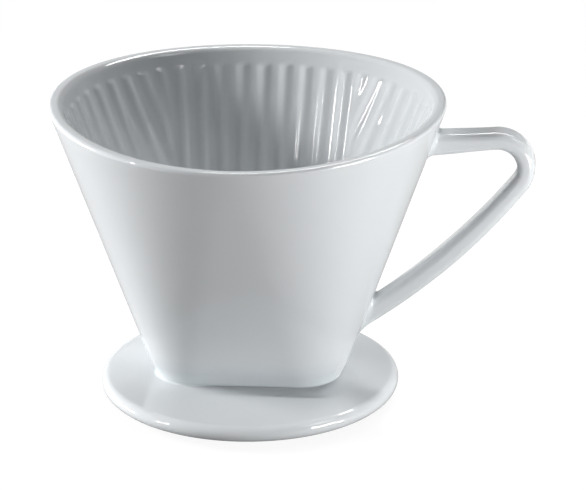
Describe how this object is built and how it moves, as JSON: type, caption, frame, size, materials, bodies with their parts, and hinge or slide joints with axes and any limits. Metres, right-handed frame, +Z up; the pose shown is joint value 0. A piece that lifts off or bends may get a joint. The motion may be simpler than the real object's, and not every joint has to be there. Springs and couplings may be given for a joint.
{
  "type": "pour over dripper",
  "caption": "Glazed ceramic pour over dripper: a ribbed wedge filter cone with a round mouth on a flat round saucer, with one side handle.",
  "frame": {"origin": "centre of the locating ring, on the face that the dripper stands on", "axes": "+Z up along the axis of the mouth, the saucer and the ring; +X towards the handle; the cone's flat panels face -Y and +Y"},
  "size_m": [0.1595, 0.1304, 0.1044],
  "materials": {
    "glaze": "gloss",
    "bare_foot": "matte"
  },
  "bodies": {
    "root": {"filter_cone": "glaze", "saucer": "glaze", "locating_ring": "bare_foot", "handle": "glaze", "base_slip_joint": "glaze", "upper_handle_slip_joint": "glaze", "lower_handle_slip_joint": "glaze"}
  },
  "joints": []
}
